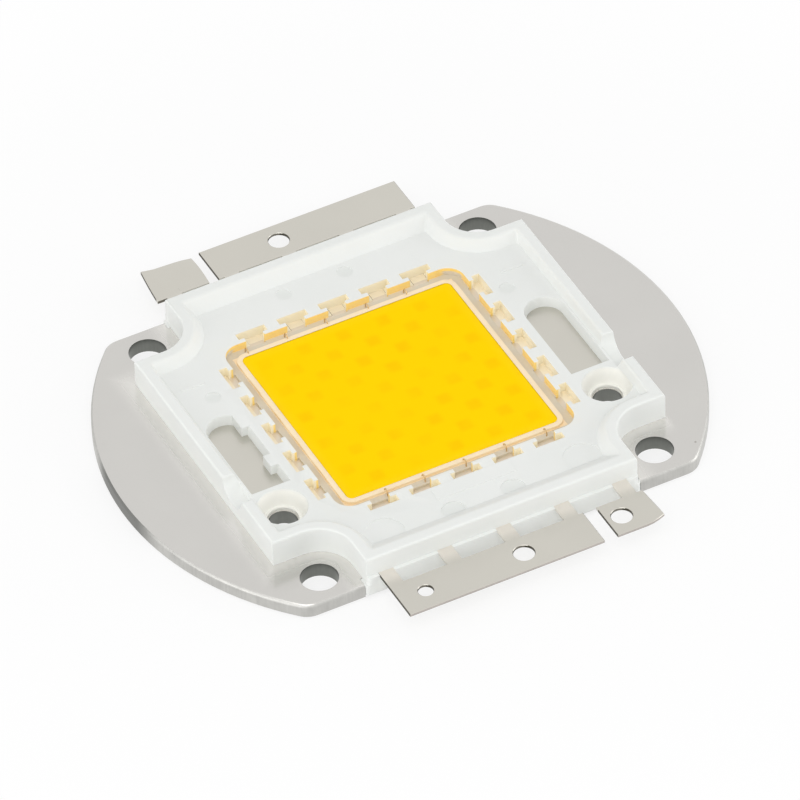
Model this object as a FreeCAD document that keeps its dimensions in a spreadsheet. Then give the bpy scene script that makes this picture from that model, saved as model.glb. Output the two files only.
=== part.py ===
import FreeCAD, Part
import math
import os
import Sketcher
from types import SimpleNamespace

# Driving sizes, in millimetres
SIZES = {
    # Metal plate
    "mounting_hole_radius": 1.75,
    "plate_thickness": 1.5,
    "plate_flat_land": 3.0,
    "plate_arc_land": 3.9584,
    "plate_corner_radius": 2.0,
    "plate_top_bevel": 0.25,
    "plate_bottom_bevel": 0.15,
    "fixing_shift": 0.25,
    "fixing_hole_radius": 1.35,
    # Plastic housing, outside
    "housing_height": 2.8,
    "side_land": 2.92,
    "front_land": 2.85,
    "notch_radius": 3.3,
    "skirt_inset": 1.0,
    "skirt_outset": 0.2,
    "skirt_clear_below": 0.35,
    "skirt_overlap": 0.25,
    "skirt_corner_radius": 0.4,
    # Recessed floor and its sloping walls
    "recess_depth": 0.95,
    "side_rim": 1.12,
    "front_rim": 1.1,
    "notch_rim": 1.05,
    "side_wall_run": 0.35,
    "front_wall_run": 1.45,
    "notch_wall_run": 0.85,
    # Light window, dam and phosphor
    "light_width": 21.4,
    "light_corner_radius": 0.6,
    "dam_thickness": 0.5,
    "dam_height": 0.55,
    "moat_width": 0.92,
    "moat_fill": 0.25,
    "window_corner_radius": 1.7,
    # Terminal strips
    "lead_thickness": 0.3,
    "lead_lift": 0.5,
    "lead_pitch": 5.9,
    "neck_width": 1.5,
    "neck_length": 1.85,
    "bar_depth": 4.15,
    "neck_straight": 1.35,
    "finger_straight": 1.25,
    "finger_shift": 0.3,
    "strip_depth": 1.2,
    "strip_end_inset": 0.3,
    "strip_gap": 0.5,
    "bar_hole_radius": 1.0,
    "bar_hole_inset": 2.1,
    "bar_hole_reach": 9.9,
    "small_hole_radius": 0.72,
    "front_long_start": 0.75,
    "front_long_end": 1.15,
    "front_short_start": 3.4,
    "front_short_end": 1.3,
    "back_long_start": 1.3,
    "back_long_end": 1.25,
    "back_short_start": 1.7,
    "back_short_end": 3.6,
    "front_curl": 0.5,
    "front_curl_width": 1.7,
    "back_curl": 0.25,
    "back_curl_width": 1.6,
    "back_droop": 0.2,
    "back_left_lean": 0.35,
    "back_right_lean": 0.2,
    # T-shaped slots over the strip fingers
    "slot_pitch": 4.2,
    "slot_head_width": 2.95,
    "slot_head_depth": 0.8,
    "slot_neck_width": 1.9,
    "slot_neck_depth": 0.43,
    "slot_neck_lead_in": 0.2,
    # Side terminals and their round-ended slots
    "side_wall": 1.15,
    "pad_slot_radius": 1.75,
    "pad_slot_inset": 1.92,
    "pad_slot_front": 6.28,
    "pad_slot_back": 2.37,
    "pad_slot_draft": 0.2,
    "pad_plate_lap": 0.45,
    "pad_plate_side": 0.2,
    "pad_tongue_lap": 0.4,
    "pad_tongue_front": 0.25,
    "pad_tongue_back": 0.48,
    "rib_width": 0.54,
    "rib_front_start": 2.45,
    "rib_front_length": 1.53,
    "rib_back_length": 2.2,
    # Counterbores, rim grooves and mould marks
    "bore_wall": 0.37,
    "bore_head_radius": 2.35,
    "bore_foot_radius": 1.75,
    "bore_ledge": 0.35,
    "bore_radius": 1.45,
    "groove_radius": 1.87,
    "groove_offset": 5.78,
    "groove_length": 1.52,
    "mark_shift": 0.35,
    "pin_mark_radius": 0.75,
    "pin_mark_depth": 0.1,
    "pin_mark_reach": 3.15,
    "pin_mark_gap": 2.7,
    "side_mark_gap": 1.72,
    "side_mark_row": 6.85,
    "gate_mark_radius": 1.15,
    "gate_mark_depth": 0.15,
    "gate_mark_reach": 3.0,
    "gate_mark_gap": 3.55,
    "disc_mark_radius": 1.8,
    "disc_mark_depth": 0.08,
    "disc_mark_reach": 10.0,
    "disc_mark_gap": 3.05,
    "plaque_width": 7.9,
    "plaque_depth": 1.65,
    "plaque_height": 0.06,
    "plaque_gap": 0.925,
    "line_length": 2.3,
    "line_width": 0.3,
    "line_height": 0.08,
    "line_gap": 3.05,
    "line_row": 9.0,
    # Light-emitting dies under the phosphor
    "die_pitch": 2.0,
    "die_width": 1.1,
    "die_height": 0.15,
    # Wire arches between the moat and the top of the dam
    "wire_radius": 0.06,
    "wire_loop_radius": 0.3,
    "wire_edge": 0.14,
    "front_wire_1": 1.1,
    "front_wire_2": 0.7,
    "front_wire_3": 0.67,
    "front_wire_4": 0.57,
    "front_wire_5": 0.47,
    "back_wire_1": -1.3,
    "back_wire_2": -1.5,
    "back_wire_3": -1.6,
    "back_wire_4": -1.6,
    "back_wire_5": -1.85,
    # Room that every cut runs past the surface it starts or ends at
    "cut_margin": 1.0,
}

# Counts of repeated features
SLOTS_PER_SIDE = 5
LONG_STRIP_FINGERS = 4
SIDES = 4
DIES_PER_ROW = 10

# Sketch references: point positions on a curve, and the axes
START, END, CENTRE = 1, 2, 3
ORIGIN = -1
HORIZONTAL_AXIS, VERTICAL_AXIS = -1, -2
LEFT_TURN, RIGHT_TURN = 1, -1
TINY = 1e-6
UP = FreeCAD.Vector(0, 0, 1)
FULL_TURN = 360
HALF_TURN = 180


class Size:
    """A length: its value now, and the formula over the sheet that keeps it bound."""

    def __init__(self, value, formula):
        self.value = value
        self.formula = formula

    @staticmethod
    def of(number):
        """Wrap a plain number, or pass a Size through."""
        if isinstance(number, Size):
            return number
        return Size(float(number), f"({float(number)})")

    def join(self, other, sign, value):
        """Make the Size of two joined formulas."""
        return Size(value, f"({self.formula} {sign} {other.formula})")

    def __add__(self, other):
        other = Size.of(other)
        return self.join(other, "+", self.value + other.value)

    def __sub__(self, other):
        other = Size.of(other)
        return self.join(other, "-", self.value - other.value)

    def __mul__(self, other):
        other = Size.of(other)
        return self.join(other, "*", self.value * other.value)

    def __truediv__(self, other):
        other = Size.of(other)
        return self.join(other, "/", self.value / other.value)

    def __radd__(self, other):
        return Size.of(other) + self

    def __rsub__(self, other):
        return Size.of(other) - self

    def __rmul__(self, other):
        return Size.of(other) * self

    def __neg__(self):
        return Size.of(0) - self


def root(size):
    """Square root of a Size."""
    return Size(math.sqrt(size.value), f"sqrt({size.formula})")


def make_sheet(document):
    """Write the driving sizes to a sheet and return them as bound Sizes."""
    sheet = document.addObject("Spreadsheet::Sheet", "Sizes")
    for row, (alias, value) in enumerate(SIZES.items(), start=1):
        sheet.set(f"A{row}", alias.replace("_", " "))
        sheet.set(f"B{row}", str(value))
        sheet.setAlias(f"B{row}", alias)
    document.recompute()
    return SimpleNamespace(**{name: Size(float(value), f"Sizes.{name}") for name, value in SIZES.items()})


def add_derived(size):
    """Work out the places that several pieces share, outward from the light window."""
    # Light window and what rings it
    size.light_half = size.light_width / 2
    size.dam_half = size.light_half + size.dam_thickness
    size.window_half = size.dam_half + size.moat_width
    size.slot_neck_end = size.window_half + size.slot_neck_depth
    size.slot_head_end = size.slot_neck_end + size.slot_head_depth
    size.strip_outer = size.dam_half + size.strip_depth
    # Side terminal slots and the counterbores in front of them
    size.pad_slot_inner = size.slot_head_end + size.side_wall
    size.pad_slot_axis = size.pad_slot_inner + size.pad_slot_radius
    size.pad_slot_outer = size.pad_slot_axis + size.pad_slot_radius
    size.fixing_half = size.pad_slot_axis + size.fixing_shift
    size.fixing_row = -(size.pad_slot_front + size.bore_wall + size.bore_head_radius)
    # Housing outline, mounting holes and plate outline
    size.housing_half_width = size.pad_slot_outer + size.pad_slot_inset
    size.hole_at = size.housing_half_width - size.side_land
    size.housing_half_depth = size.hole_at + size.front_land
    size.plate_half_depth = size.hole_at + size.plate_flat_land
    size.plate_radius = size.hole_at * root(Size.of(2)) + size.plate_arc_land
    size.skirt_half_width = size.hole_at - size.notch_radius + size.skirt_overlap
    # Levels
    size.housing_top = size.plate_thickness + size.housing_height
    size.floor_level = size.housing_top - size.recess_depth
    size.lead_bottom = size.plate_thickness + size.lead_lift
    size.lead_top = size.lead_bottom + size.lead_thickness
    size.dam_top = size.lead_top + size.dam_height
    size.moat_top = size.lead_top + size.moat_fill
    # Terminal bars
    size.bar_inner = size.plate_half_depth + size.neck_length
    size.bar_outer = size.bar_inner + size.bar_depth
    size.neck_bend = size.housing_half_depth - size.neck_straight
    size.finger_bend = size.slot_head_end + size.finger_straight
    return size


def axis_or_plane(body, role):
    """Find an axis or plane of the body's own origin."""
    return next(item for item in body.Origin.OriginFeatures if item.Role == role)


def new_body(document, label):
    """Start a body with its own label."""
    body = document.addObject("PartDesign::Body", label)
    body.Label = label
    body.Placement = FreeCAD.Placement()
    return body


def new_sketch(body, name, height=0, role="XY_Plane"):
    """Attach a sketch to a plane of the body's origin, at a bound height over it."""
    sketch = body.newObject("Sketcher::SketchObject", name)
    sketch.AttachmentSupport = [(axis_or_plane(body, role), "")]
    sketch.MapMode = "FlatFace"
    sketch.setExpression("AttachmentOffset.Base.z", Size.of(height).formula)
    return sketch


def pin(sketch, curve, point, x, y):
    """Hold one point of a curve at a bound place."""
    for kind, distance, axis in (("DistanceX", x, VERTICAL_AXIS), ("DistanceY", y, HORIZONTAL_AXIS)):
        distance = Size.of(distance)
        if abs(distance.value) < TINY:
            sketch.addConstraint(Sketcher.Constraint("PointOnObject", curve, point, axis))
            continue
        rule = Sketcher.Constraint(kind, ORIGIN, START, curve, point, distance.value)
        sketch.setExpression(f"Constraints[{sketch.addConstraint(rule)}]", distance.formula)


def hold_radius(sketch, curve, radius):
    """Bind the radius of a circle or an arc."""
    radius = Size.of(radius)
    index = sketch.addConstraint(Sketcher.Constraint("Radius", curve, radius.value))
    sketch.setExpression(f"Constraints[{index}]", radius.formula)


def at(corner):
    """Vector of an outline corner."""
    return FreeCAD.Vector(Size.of(corner[0]).value, Size.of(corner[1]).value, 0)


def make_arc(first, last, radius, turn):
    """Minor arc between two points, turning left or right."""
    chord = last - first
    rise = math.sqrt(max(radius ** 2 - (chord.Length / 2) ** 2, 0))
    side = FreeCAD.Vector(-chord.y, chord.x, 0).normalize() * (rise * turn)
    centre = (first + last) / 2 + side
    angles = [math.atan2(point.y - centre.y, point.x - centre.x) for point in (first, last)]
    begin, finish = angles if turn == LEFT_TURN else angles[::-1]
    if finish < begin:
        finish += 2 * math.pi
    return Part.ArcOfCircle(Part.Circle(centre, UP, radius), begin, finish)


def draw_outline(sketch, corners, arcs=None):
    """Draw a closed outline through pinned corners; arcs maps a side to its radius and turn."""
    arcs = arcs or {}
    ends = []
    for side, corner in enumerate(corners):
        first = at(corner)
        last = at(corners[(side + 1) % len(corners)])
        if side in arcs:
            radius, turn = arcs[side]
            curve = sketch.addGeometry(make_arc(first, last, Size.of(radius).value, turn))
            ends.append((curve, START, END) if turn == LEFT_TURN else (curve, END, START))
        else:
            curve = sketch.addGeometry(Part.LineSegment(first, last))
            ends.append((curve, START, END))
    for side, corner in enumerate(corners):
        curve, begin, finish = ends[side]
        following, following_begin, _ = ends[(side + 1) % len(corners)]
        sketch.addConstraint(Sketcher.Constraint("Coincident", curve, finish, following, following_begin))
        pin(sketch, curve, begin, *corner)
        if side in arcs:
            hold_radius(sketch, curve, arcs[side][0])


def draw_rectangle(sketch, left, front, right, back):
    """Draw a pinned rectangle."""
    draw_outline(sketch, [(left, front), (right, front), (right, back), (left, back)])


def draw_circle(sketch, x, y, radius):
    """Draw a pinned circle."""
    centre = at((x, y))
    curve = sketch.addGeometry(Part.Circle(centre, UP, Size.of(radius).value))
    hold_radius(sketch, curve, radius)
    pin(sketch, curve, CENTRE, x, y)


def draw_rounded_square(sketch, half, radius):
    """Draw a square about the origin with rounded corners."""
    near = half - radius
    corners = []
    arcs = {}
    for x_sign, y_sign in ((1, 1), (-1, 1), (-1, -1), (1, -1)):
        arcs[len(corners)] = (radius, LEFT_TURN)
        pair = [(x_sign * half, y_sign * near), (x_sign * near, y_sign * half)]
        corners += pair if x_sign == y_sign else pair[::-1]
    draw_outline(sketch, corners, arcs)


def add_feature(body, kind, name, sketch, length, reverse=False):
    """Add a pad or a pocket of a bound length."""
    feature = body.newObject(kind, name)
    feature.Profile = sketch
    feature.Length = Size.of(length).value
    feature.setExpression("Length", Size.of(length).formula)
    feature.Reversed = reverse
    sketch.Visibility = False
    return feature


def pad(body, name, sketch, length):
    """Add a pad that rises from its sketch."""
    return add_feature(body, "PartDesign::Pad", name, sketch, length)


def pocket(body, name, sketch, length):
    """Add a pocket that sinks from its sketch."""
    return add_feature(body, "PartDesign::Pocket", name, sketch, length)


def loft(body, kind, name, first, last):
    """Add a ruled loft between two sketches."""
    feature = body.newObject(kind, name)
    feature.Profile = first
    feature.Sections = [(last, [""])]
    feature.Ruled = True
    return feature


def mirror(body, name, features):
    """Mirror features to the other side of the body's YZ plane."""
    feature = body.newObject("PartDesign::Mirrored", name)
    feature.Originals = features
    feature.MirrorPlane = (axis_or_plane(body, "YZ_Plane"), [""])
    body.Tip = feature
    return feature


def turn_copies(body, name, features, count):
    """Repeat features about the body's upright axis."""
    feature = body.newObject("PartDesign::PolarPattern", name)
    feature.Originals = features
    feature.Axis = (axis_or_plane(body, "Z_Axis"), [""])
    feature.Angle = FULL_TURN
    feature.Occurrences = count
    body.Tip = feature
    return feature


def dress(body, kind, name, size, wanted):
    """Round or bevel the edges of the body's present shape that pass a test."""
    body.Document.recompute()
    base = body.Tip
    names = [f"Edge{number}" for number, edge in enumerate(base.Shape.Edges, start=1) if wanted(edge)]
    feature = body.newObject(f"PartDesign::{kind}", name)
    feature.Base = (base, names)
    measure = "Radius" if kind == "Fillet" else "Size"
    feature.setExpression(measure, size.formula)
    return feature


def edge_levels(edge):
    """Lowest and highest level of an edge."""
    box = edge.BoundBox
    return box.ZMin, box.ZMax


def is_upright(edge):
    """Tell whether an edge stands straight up."""
    box = edge.BoundBox
    return box.XLength < TINY and box.YLength < TINY


def lies_at(edge, level):
    """Tell whether an edge lies flat at a level."""
    return all(abs(height - level.value) < TINY for height in edge_levels(edge))


# Metal plate: a disc cut by two flats, with six holes
def make_plate(document, size):
    """Build the plate that carries everything."""
    body = new_body(document, "base_plate")
    top = size.plate_thickness
    reach = root(size.plate_radius * size.plate_radius - size.plate_half_depth * size.plate_half_depth)
    outline = new_sketch(body, "plate_outline")
    corners = [(reach, -size.plate_half_depth), (reach, size.plate_half_depth),
               (-reach, size.plate_half_depth), (-reach, -size.plate_half_depth)]
    draw_outline(outline, corners, {0: (size.plate_radius, LEFT_TURN), 2: (size.plate_radius, LEFT_TURN)})
    pad(body, "plate", outline, top)
    dress(body, "Fillet", "plate_corners", size.plate_corner_radius, is_upright)
    dress(body, "Chamfer", "plate_top_edge", size.plate_top_bevel, lambda edge: lies_at(edge, top))
    dress(body, "Chamfer", "plate_bottom_edge", size.plate_bottom_bevel, lambda edge: lies_at(edge, Size.of(0)))

    seats = new_sketch(body, "skirt_seats_outline", top + size.cut_margin)
    inner = size.plate_half_depth - size.skirt_inset
    outer = size.plate_half_depth + size.cut_margin
    draw_rectangle(seats, -size.skirt_half_width, inner, size.skirt_half_width, outer)
    draw_rectangle(seats, -size.skirt_half_width, -outer, size.skirt_half_width, -inner)
    pocket(body, "skirt_seats", seats, top + size.cut_margin * 2)

    holes = new_sketch(body, "holes_outline", top + size.cut_margin)
    for x_sign in (-1, 1):
        for y_sign in (-1, 1):
            draw_circle(holes, x_sign * size.hole_at, y_sign * size.hole_at, size.mounting_hole_radius)
        draw_circle(holes, x_sign * size.fixing_half, size.fixing_row, size.fixing_hole_radius)
    pocket(body, "holes", holes, top + size.cut_margin * 2)
    return body


# Terminal strips: a bar outside, necks through the housing, a strip beside the dam
def neck_outline(size, side, index):
    """Corners of one neck and finger, from the bar to the strip beside the dam."""
    place = index - (SLOTS_PER_SIDE - 1) / 2
    outside = place * size.lead_pitch
    inside = place * size.slot_pitch + size.finger_shift
    half = size.neck_width / 2
    run = [(outside, size.bar_inner + half), (outside, size.neck_bend),
           (inside, size.finger_bend), (inside, size.strip_outer - half)]
    corners = [(x - half, side * y) for x, y in run] + [(x + half, side * y) for x, y in reversed(run)]
    return corners


def bar_section(body, name, size, left, right, reach, lifts, knee):
    """Sketch the end view of a bar, with its two ends lifted and a knee between them."""
    sketch = new_sketch(body, name, reach, "XZ_Plane")
    left_lift, right_lift = lifts
    line = [(left, left_lift), (knee, Size.of(0)), (right, right_lift)]
    lower = [(x, size.lead_bottom + lift) for x, lift in line]
    upper = [(x, size.lead_top + lift) for x, lift in reversed(line)]
    draw_outline(sketch, lower + upper)
    return sketch


def make_bar(body, size, side, left, right, bend):
    """Build the bar outside the housing, flat or with bent outer corners."""
    if bend is None:
        outline = new_sketch(body, "bar_outline", size.lead_bottom)
        draw_rectangle(outline, left, side * size.bar_inner, right, side * size.bar_outer)
        pad(body, "bar", outline, size.lead_thickness)
        return
    left_lift, right_lift, knee, left_lean, right_lean = bend
    flat = (Size.of(0), Size.of(0))
    near = bar_section(body, "bar_near", size, left, right, -side * size.bar_inner, flat, knee)
    far = bar_section(body, "bar_far", size, left + left_lean, right + right_lean, -side * size.bar_outer,
                      (left_lift, right_lift), knee)
    loft(body, "PartDesign::AdditiveLoft", "bar", near, far)


def make_lead(document, size, label, side, fingers, bar, strip, holes, bend=None):
    """Build one terminal strip; side is 1 at the back and -1 at the front."""
    body = new_body(document, label)
    make_bar(body, size, side, *bar, bend)
    necks = new_sketch(body, "necks_outline", size.lead_bottom)
    for index in fingers:
        draw_outline(necks, neck_outline(size, side, index))
    pad(body, "necks", necks, size.lead_thickness)
    inner = new_sketch(body, "strip_outline", size.lead_bottom)
    left, right = strip
    draw_rectangle(inner, left, side * size.dam_half, right, side * size.strip_outer)
    pad(body, "strip", inner, size.lead_thickness)
    if holes:
        punched = new_sketch(body, "holes_outline", size.lead_top + size.cut_margin)
        for x, radius in holes:
            draw_circle(punched, x, side * (size.bar_outer - size.bar_hole_inset), radius)
        pocket(body, "holes", punched, size.lead_thickness + size.cut_margin * 2)
    return body


def make_leads(document, size):
    """Build the four terminal strips at the front and the back."""
    front, back = -1, 1
    last = (SLOTS_PER_SIDE - 1) / 2
    split = (last - 0.5) * size.slot_pitch
    strip_end = size.dam_half - size.strip_end_inset
    half_gap = size.strip_gap / 2
    every = range(SLOTS_PER_SIDE)
    end_neck = last * size.lead_pitch
    next_neck = (last - 1) * size.lead_pitch
    centre_hole = (Size.of(0), size.bar_hole_radius)
    front_long = make_lead(
        document, size, "lead_front_long", front, every[:LONG_STRIP_FINGERS],
        (-(end_neck + size.front_long_start), next_neck + size.front_long_end),
        (-strip_end, split - half_gap),
        [(-size.bar_hole_reach, size.small_hole_radius), centre_hole])
    curl_start = end_neck + size.front_short_end - size.front_curl_width
    front_short = make_lead(
        document, size, "lead_front_short", front, every[LONG_STRIP_FINGERS:],
        (end_neck - size.front_short_start, end_neck + size.front_short_end),
        (split + half_gap, strip_end),
        [(size.bar_hole_reach, size.bar_hole_radius)],
        (Size.of(0), size.front_curl, curl_start, Size.of(0), Size.of(0)))
    back_long = make_lead(
        document, size, "lead_back_long", back, every[SLOTS_PER_SIDE - LONG_STRIP_FINGERS:],
        (-(next_neck + size.back_long_start), end_neck + size.back_long_end),
        (-(split - half_gap), strip_end),
        [centre_hole])
    curl_end = -(end_neck + size.back_short_start) + size.back_curl_width
    back_short = make_lead(
        document, size, "lead_back_short", back, every[:SLOTS_PER_SIDE - LONG_STRIP_FINGERS],
        (-(end_neck + size.back_short_start), -(end_neck - size.back_short_end)),
        (-strip_end, -(split + half_gap)),
        [],
        (size.back_curl, -size.back_droop, curl_end, size.back_left_lean, size.back_right_lean))
    return [front_long, front_short, back_long, back_short]


def make_side_lead(document, size, label, side):
    """Build the plate beside the dam with its tongue in the side slot."""
    body = new_body(document, label)
    outline = new_sketch(body, "side_outline", size.lead_bottom)
    half = size.dam_half + size.pad_plate_side
    inner = side * size.dam_half
    edge = side * (size.slot_head_end + size.pad_plate_lap)
    tip = side * (size.pad_slot_outer + size.pad_tongue_lap)
    front = -(size.pad_slot_front + size.pad_tongue_front)
    back = size.pad_slot_back + size.pad_slot_radius + size.pad_tongue_back
    draw_outline(outline, [(inner, -half), (edge, -half), (edge, front), (tip, front),
                           (tip, back), (edge, back), (edge, half), (inner, half)])
    pad(body, "side_plate", outline, size.lead_thickness)
    return body


# Housing: one white moulding round the window, with its dam
def cut_recess(body, size):
    """Sink the floor inside the rim, with sloping walls."""
    top_half = (size.housing_half_width - size.side_rim, size.housing_half_depth - size.front_rim)
    low_half = (top_half[0] - size.side_wall_run, top_half[1] - size.front_wall_run)
    sections = []
    for name, height, (half_x, half_y) in (("recess_low", size.floor_level, low_half),
                                           ("recess_top", size.housing_top, top_half)):
        sketch = new_sketch(body, name, height)
        draw_rectangle(sketch, -half_x, -half_y, half_x, half_y)
        sections.append(sketch)
    loft(body, "PartDesign::SubtractiveLoft", "recess", *sections)


def corner_outline(sketch, size, radius):
    """Draw the corner block outside an arc about the mounting hole."""
    near = size.hole_at - radius
    wide = size.housing_half_width
    deep = size.housing_half_depth
    corners = [(near, size.hole_at), (size.hole_at, near), (wide, near), (wide, deep), (near, deep)]
    draw_outline(sketch, corners, {0: (radius, LEFT_TURN)})


def raise_corners(body, size):
    """Raise the four corner walls that curve round the mounting holes."""
    rim_radius = size.notch_radius + size.notch_rim
    sections = []
    for name, height, radius in (("corner_low", size.floor_level, rim_radius + size.notch_wall_run),
                                 ("corner_top", size.housing_top, rim_radius)):
        sketch = new_sketch(body, name, height)
        corner_outline(sketch, size, radius)
        sections.append(sketch)
    block = loft(body, "PartDesign::AdditiveLoft", "corner_wall", *sections)
    mirrored = body.newObject("PartDesign::MultiTransform", "corner_walls")
    mirrored.Originals = [block]
    planes = []
    for role in ("YZ_Plane", "XZ_Plane"):
        plane = body.newObject("PartDesign::Mirrored", f"corner_mirror_{role[:2]}")
        plane.MirrorPlane = (axis_or_plane(body, role), [""])
        planes.append(plane)
    mirrored.Transformations = planes
    body.Tip = mirrored


def cut_notches(body, size):
    """Cut the corners away round the mounting holes."""
    near = size.hole_at - size.notch_radius
    wide = size.housing_half_width + size.cut_margin
    deep = size.housing_half_depth + size.cut_margin
    sketch = new_sketch(body, "notches_outline", size.housing_top + size.cut_margin)
    for x_sign in (-1, 1):
        for y_sign in (-1, 1):
            run = [(near, size.hole_at), (size.hole_at, near), (wide, near), (wide, deep), (near, deep)]
            corners = [(x_sign * x, y_sign * y) for x, y in run]
            turn = LEFT_TURN if x_sign == y_sign else RIGHT_TURN
            draw_outline(sketch, corners, {0: (size.notch_radius, turn)})
    pocket(body, "notches", sketch, size.housing_height + size.cut_margin * 2)


def cut_slots(body, size):
    """Cut the T-shaped slots beside the window on all four sides."""
    sketch = new_sketch(body, "slots_outline", size.floor_level)
    head = size.slot_head_width / 2
    neck = size.slot_neck_width / 2
    start = -(size.window_half - size.slot_neck_lead_in)
    step = -size.slot_neck_end
    end = -size.slot_head_end
    for index in range(SLOTS_PER_SIDE):
        middle = (index - (SLOTS_PER_SIDE - 1) / 2) * size.slot_pitch
        draw_outline(sketch, [(middle - neck, start), (middle - neck, step), (middle - head, step),
                              (middle - head, end), (middle + head, end), (middle + head, step),
                              (middle + neck, step), (middle + neck, start)])
    row = pocket(body, "slots", sketch, size.floor_level - size.lead_top)
    turn_copies(body, "slots_all_round", [row], SIDES)


def cut_side_slots(body, size):
    """Cut the round-ended slots over the side terminals, wider at the top, with their ribs."""
    depth = size.floor_level - size.lead_top
    front = -size.pad_slot_front
    back = size.pad_slot_back
    radius = size.pad_slot_radius
    sections = []
    for name, height, wider in (("side_slot_low", size.lead_top, Size.of(0)),
                                ("side_slot_top", size.floor_level, size.pad_slot_draft)):
        sketch = new_sketch(body, name, height)
        inner = size.pad_slot_inner - wider
        outer = size.pad_slot_outer + wider
        corners = [(inner, front), (outer, front), (outer, back),
                   (size.pad_slot_axis, back + radius + wider), (inner, back)]
        draw_outline(sketch, corners, {2: (radius + wider, LEFT_TURN), 3: (radius + wider, LEFT_TURN)})
        sections.append(sketch)
    slot = loft(body, "PartDesign::SubtractiveLoft", "side_slot", *sections)
    mirror(body, "side_slots_both", [slot])

    ribs = new_sketch(body, "ribs_outline", size.lead_top)
    left = -(size.pad_slot_inner + size.rib_width)
    right = -size.pad_slot_inner + size.rib_width
    first = front + size.rib_front_start
    draw_rectangle(ribs, left, first, right, first + size.rib_front_length)
    last = back + radius
    draw_rectangle(ribs, left, last - size.rib_back_length, right, last)
    pad(body, "ribs", ribs, depth)


def cut_bores(body, size):
    """Cut the two countersunk screw bores and the grooves across the side rims."""
    foot = size.plate_thickness + size.bore_ledge
    head = body.newObject("PartDesign::SubtractiveCone", "bore_head")
    for name, value in (("Radius1", size.bore_foot_radius), ("Radius2", size.bore_head_radius),
                        ("Height", size.floor_level - foot)):
        head.setExpression(name, value.formula)
    head.AttachmentSupport = [(axis_or_plane(body, "XY_Plane"), "")]
    head.MapMode = "FlatFace"
    for axis, value in zip("xyz", (size.fixing_half, size.fixing_row, foot)):
        head.setExpression(f"AttachmentOffset.Base.{axis}", value.formula)
    mirror(body, "bore_heads_both", [head])
    bores = new_sketch(body, "bores_outline", size.floor_level)
    for x_sign in (-1, 1):
        draw_circle(bores, x_sign * size.fixing_half, size.fixing_row, size.bore_radius)
    pocket(body, "bores", bores, size.floor_level - size.plate_thickness + size.cut_margin)
    groove = new_sketch(body, "groove_outline", size.housing_half_width + size.cut_margin, "YZ_Plane")
    draw_circle(groove, -size.groove_offset, size.housing_top, size.groove_radius)
    cut = pocket(body, "groove", groove, size.groove_length + size.cut_margin)
    mirror(body, "grooves_both", [cut])


def add_marks(body, size):
    """Add the shallow mould marks, the bare plaque and the two raised lines on the floor."""
    edge = size.slot_head_end
    rows = (
        ("pin_marks", size.pin_mark_radius, size.pin_mark_depth,
         [(size.pin_mark_reach, edge + size.pin_mark_gap), (edge + size.side_mark_gap, size.side_mark_row)]),
        ("gate_marks", size.gate_mark_radius, size.gate_mark_depth,
         [(size.gate_mark_reach, -(edge + size.gate_mark_gap))]),
        ("disc_marks", size.disc_mark_radius, size.disc_mark_depth,
         [(size.disc_mark_reach, -(edge + size.disc_mark_gap))]),
    )
    for name, radius, depth, places in rows:
        sketch = new_sketch(body, f"{name}_outline", size.floor_level)
        shift = Size.of(0) if name == "disc_marks" else size.mark_shift
        for reach, row in places:
            for x_sign in (-1, 1):
                draw_circle(sketch, x_sign * reach - shift, row, radius)
        pocket(body, name, sketch, depth)
    plaque = new_sketch(body, "plaque_outline", size.floor_level)
    half_width = size.plaque_width / 2
    half_depth = size.plaque_depth / 2
    row = -(edge + size.plaque_gap)
    draw_rectangle(plaque, -half_width, row - half_depth, half_width, row + half_depth)
    pad(body, "plaque", plaque, size.plaque_height)
    lines = new_sketch(body, "lines_outline", size.floor_level)
    for x_sign in (-1, 1):
        middle = x_sign * (edge + size.line_gap)
        draw_rectangle(lines, middle - size.line_length / 2, size.line_row - size.line_width / 2,
                       middle + size.line_length / 2, size.line_row + size.line_width / 2)
    pad(body, "lines", lines, size.line_height)


def make_moulding(document, size):
    """Build the housing before the terminal strips are let into it."""
    body = new_body(document, "housing_moulding")
    outline = new_sketch(body, "housing_outline", size.plate_thickness)
    half_x, half_y = size.housing_half_width, size.housing_half_depth
    draw_rectangle(outline, -half_x, -half_y, half_x, half_y)
    pad(body, "block", outline, size.housing_height)
    cut_recess(body, size)
    raise_corners(body, size)
    cut_notches(body, size)

    skirts = new_sketch(body, "skirts_outline", size.skirt_clear_below)
    inner = size.plate_half_depth - size.skirt_inset
    outer = size.plate_half_depth + size.skirt_outset
    half = size.skirt_half_width
    near = half - size.skirt_corner_radius
    shoulder = outer - size.skirt_corner_radius
    for side in (-1, 1):
        turn = LEFT_TURN if side == 1 else RIGHT_TURN
        corners = [(-half, side * inner), (half, side * inner), (half, side * shoulder),
                   (near, side * outer), (-near, side * outer), (-half, side * shoulder)]
        draw_outline(skirts, corners, {2: (size.skirt_corner_radius, turn), 4: (size.skirt_corner_radius, turn)})
    pad(body, "skirts", skirts, size.lead_top - size.skirt_clear_below)

    window = new_sketch(body, "window_outline", size.floor_level)
    draw_rounded_square(window, size.window_half, size.window_corner_radius)
    pocket(body, "window", window, size.floor_level - size.moat_top)
    dam = new_sketch(body, "dam_outline", size.moat_top)
    draw_rounded_square(dam, size.dam_half, size.light_corner_radius + size.dam_thickness)
    pad(body, "dam", dam, size.dam_top - size.moat_top)
    well = new_sketch(body, "well_outline", size.dam_top)
    draw_rounded_square(well, size.light_half, size.light_corner_radius)
    pocket(body, "well", well, size.dam_top - size.plate_thickness)

    cut_bores(body, size)
    cut_side_slots(body, size)
    add_marks(body, size)
    cut_slots(body, size)
    return body


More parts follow.
